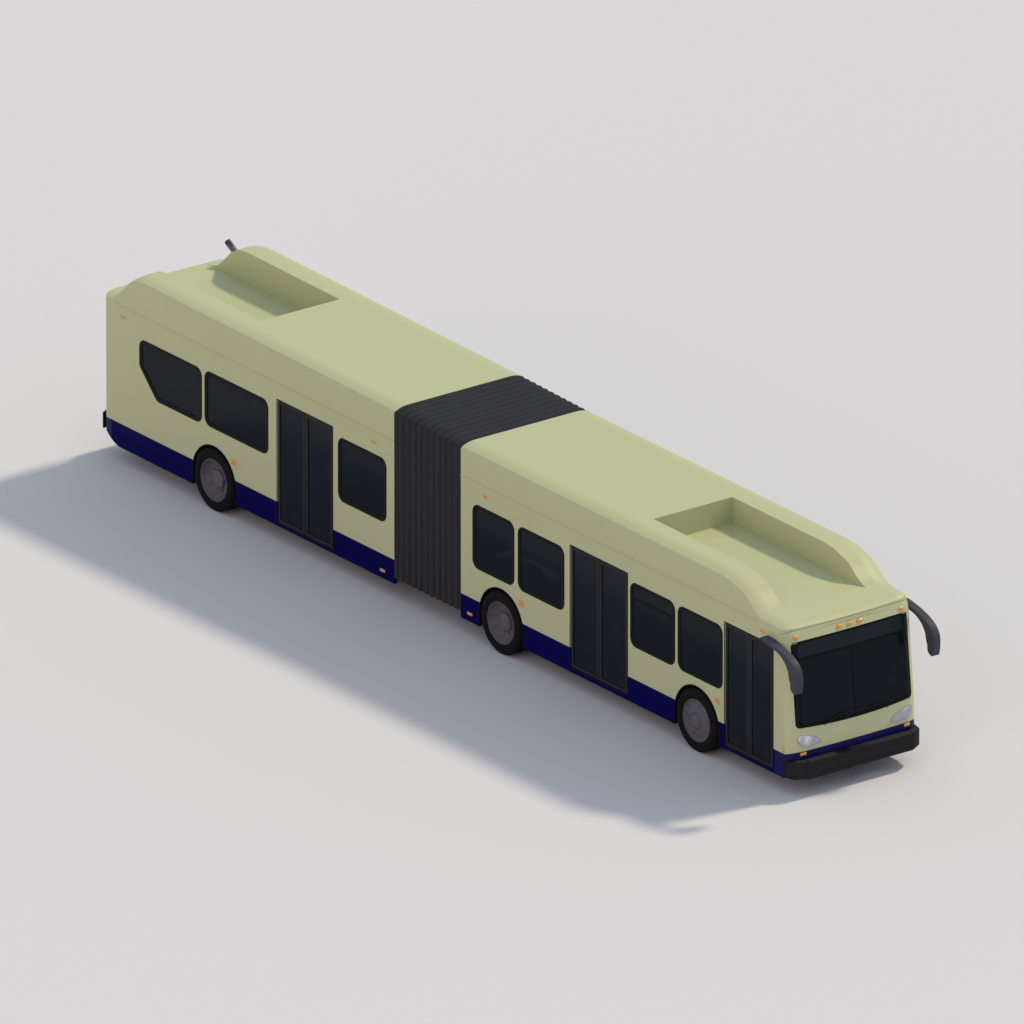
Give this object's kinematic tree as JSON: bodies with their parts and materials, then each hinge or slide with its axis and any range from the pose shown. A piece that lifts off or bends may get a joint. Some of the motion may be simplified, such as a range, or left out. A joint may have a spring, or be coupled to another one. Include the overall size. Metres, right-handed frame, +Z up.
{
  "type": "articulated bus",
  "caption": "Low-floor articulated city bus: two box sections joined by a bellows over a turntable, double doors on the kerb side, roof wells and corner mirrors.",
  "frame": {"origin": "on the ground, under the middle of the bus's box, midway between the rear bumper's face and the mirrors' front face", "axes": "+X forward, +Y to the bus's left side, +Z up; the doors are on -Y"},
  "size_m": [18.894, 2.874, 3.375],
  "materials": {
    "cream_paint": "satin",
    "navy_paint": "gloss",
    "window_glass": "tinted",
    "door_frame": "satin",
    "bumper_plastic": "matt",
    "mirror_plastic": "satin",
    "lamp_lens": "clear",
    "tail_lens": "clear",
    "bellows_rubber": "matt",
    "chassis_steel": "satin",
    "floor_vinyl": "speckled",
    "engine_iron": "rough",
    "exhaust_steel": "dull",
    "tyre_rubber": "matt",
    "rim_paint": "satin",
    "seat_shell": "moulded",
    "dash_plastic": "grained"
  },
  "bodies": {
    "front_section": {"front_floor": "floor_vinyl", "front_right_wall": "cream_paint", "front_left_wall": "cream_paint", "front_skirts": "navy_paint", "front_side_glass": "window_glass", "front_roof": "cream_paint", "front_mask": "cream_paint", "windscreen": "window_glass", "headlamps": "lamp_lens", "front_bumper": "bumper_plastic", "bellows": "bellows_rubber", "turntable_front": "chassis_steel", "front_axle_beam": "chassis_steel", "middle_axle": "chassis_steel", "mirrors": "mirror_plastic", "front_seats": "seat_shell", "dashboard": "dash_plastic"},
    "rear_section": {"rear_floor": "floor_vinyl", "rear_right_wall": "cream_paint", "rear_left_wall": "cream_paint", "rear_skirts": "navy_paint", "rear_side_glass": "window_glass", "rear_roof": "cream_paint", "rear_end_panel": "cream_paint", "tail_lamps": "tail_lens", "rear_bumper": "bumper_plastic", "engine": "engine_iron", "exhaust_pipe": "exhaust_steel", "turntable_rear": "chassis_steel", "drive_axle": "chassis_steel", "rear_seats": "seat_shell"},
    "right_knuckle": {"knuckle_right": "chassis_steel"},
    "front_wheel_right": {"front_tyre_right": "tyre_rubber", "front_rim_right": "rim_paint"},
    "middle_wheel_right": {"middle_tyres_right": "tyre_rubber", "middle_rims_right": "rim_paint"},
    "rear_wheel_right": {"rear_tyres_right": "tyre_rubber", "rear_rims_right": "rim_paint"},
    "left_knuckle": {"knuckle_left": "chassis_steel"},
    "front_wheel_left": {"front_tyre_left": "tyre_rubber", "front_rim_left": "rim_paint"},
    "middle_wheel_left": {"middle_tyres_left": "tyre_rubber", "middle_rims_left": "rim_paint"},
    "rear_wheel_left": {"rear_tyres_left": "tyre_rubber", "rear_rims_left": "rim_paint"},
    "front_door_rear": {"front_door_rear_leaf": "door_frame", "front_door_rear_pane": "window_glass"},
    "front_door_front": {"front_door_front_leaf": "door_frame", "front_door_front_pane": "window_glass"},
    "middle_door_rear": {"middle_door_rear_leaf": "door_frame", "middle_door_rear_pane": "window_glass"},
    "middle_door_front": {"middle_door_front_leaf": "door_frame", "middle_door_front_pane": "window_glass"},
    "rear_door_rear": {"rear_door_rear_leaf": "door_frame", "rear_door_rear_pane": "window_glass"},
    "rear_door_front": {"rear_door_front_leaf": "door_frame", "rear_door_front_pane": "window_glass"},
    "engine_lid": {"engine_door": "cream_paint"}
  },
  "joints": [
    {"name": "articulation", "type": "hinge", "parent": "front_section", "child": "rear_section", "pos_m": [-0.508, 0, 0.2], "axis": [0, 0, 1], "range_deg": [-45, 45], "deforming": ["bellows"]},
    {"name": "steering_right", "type": "hinge", "parent": "front_section", "child": "right_knuckle", "pos_m": [6.637, -0.983, 0.53], "axis": [0, 0, 1], "range_deg": [-45, 45]},
    {"name": "front_wheel_right_spin", "type": "hinge", "parent": "right_knuckle", "child": "front_wheel_right", "pos_m": [6.637, -1.13, 0.53], "axis": [0, 1, 0], "continuous": true},
    {"name": "middle_wheel_right_spin", "type": "hinge", "parent": "front_section", "child": "middle_wheel_right", "pos_m": [1.457, -1.13, 0.53], "axis": [0, 1, 0], "continuous": true},
    {"name": "rear_wheel_right_spin", "type": "hinge", "parent": "rear_section", "child": "rear_wheel_right", "pos_m": [-6.243, -1.13, 0.53], "axis": [0, 1, 0], "continuous": true},
    {"name": "steering_left", "type": "hinge", "parent": "front_section", "child": "left_knuckle", "pos_m": [6.637, 0.983, 0.53], "axis": [0, 0, 1], "range_deg": [-45, 45]},
    {"name": "front_wheel_left_spin", "type": "hinge", "parent": "left_knuckle", "child": "front_wheel_left", "pos_m": [6.637, 1.13, 0.53], "axis": [0, 1, 0], "continuous": true},
    {"name": "middle_wheel_left_spin", "type": "hinge", "parent": "front_section", "child": "middle_wheel_left", "pos_m": [1.457, 1.13, 0.53], "axis": [0, 1, 0], "continuous": true},
    {"name": "rear_wheel_left_spin", "type": "hinge", "parent": "rear_section", "child": "rear_wheel_left", "pos_m": [-6.243, 1.13, 0.53], "axis": [0, 1, 0], "continuous": true},
    {"name": "front_door_rear_hinge", "type": "hinge", "parent": "front_section", "child": "front_door_rear", "pos_m": [7.398, -1.27, 1.4], "axis": [0, 0, -1], "range_deg": [0, 90]},
    {"name": "front_door_front_hinge", "type": "hinge", "parent": "front_section", "child": "front_door_front", "pos_m": [8.616, -1.27, 1.4], "axis": [0, 0, 1], "range_deg": [0, 90]},
    {"name": "middle_door_rear_hinge", "type": "hinge", "parent": "front_section", "child": "middle_door_rear", "pos_m": [3.323, -1.27, 1.4], "axis": [0, 0, -1], "range_deg": [0, 90]},
    {"name": "middle_door_front_hinge", "type": "hinge", "parent": "front_section", "child": "middle_door_front", "pos_m": [4.779, -1.27, 1.4], "axis": [0, 0, 1], "range_deg": [0, 90]},
    {"name": "rear_door_rear_hinge", "type": "hinge", "parent": "rear_section", "child": "rear_door_rear", "pos_m": [-4.512, -1.27, 1.4], "axis": [0, 0, -1], "range_deg": [0, 90]},
    {"name": "rear_door_front_hinge", "type": "hinge", "parent": "rear_section", "child": "rear_door_front", "pos_m": [-3.074, -1.27, 1.4], "axis": [0, 0, 1], "range_deg": [0, 90]},
    {"name": "engine_lid_hinge", "type": "hinge", "parent": "rear_section", "child": "engine_lid", "pos_m": [-9.283, 0, 1.692], "axis": [0, 1, 0], "range_deg": [0, 75]}
  ],
  "couplings": [
    {"joint": "steering_left", "follows": "steering_right", "ratio": 1},
    {"joint": "front_door_rear_hinge", "follows": "front_door_front_hinge", "ratio": 1},
    {"joint": "middle_door_rear_hinge", "follows": "middle_door_front_hinge", "ratio": 1},
    {"joint": "rear_door_rear_hinge", "follows": "rear_door_front_hinge", "ratio": 1}
  ]
}
